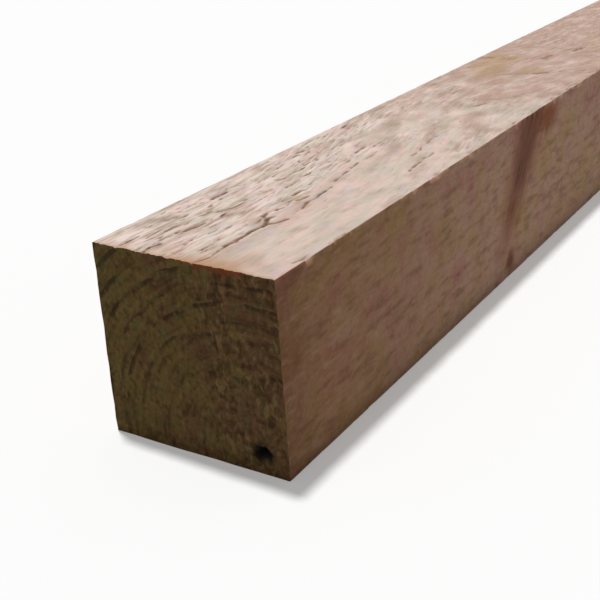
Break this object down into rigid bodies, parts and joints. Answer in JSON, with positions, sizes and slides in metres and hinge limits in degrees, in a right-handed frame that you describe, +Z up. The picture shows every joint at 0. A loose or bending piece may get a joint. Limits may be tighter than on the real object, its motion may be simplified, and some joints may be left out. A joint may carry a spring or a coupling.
{
  "type": "timber batten",
  "caption": "Square rough-sawn softwood batten, a plain length of stock with sharp arrises, torn grain on one face and crosscut ends.",
  "frame": {"origin": "middle of the underside, at half the length", "axes": "+X along the length, away from the end with the pith hollow; +Y across; +Z up out of the torn upper face"},
  "size_m": [1.8, 0.05, 0.05],
  "materials": {
    "sawn_softwood": "rough sawn, uncoated"
  },
  "bodies": {
    "root": {"batten": "sawn_softwood"}
  },
  "joints": []
}
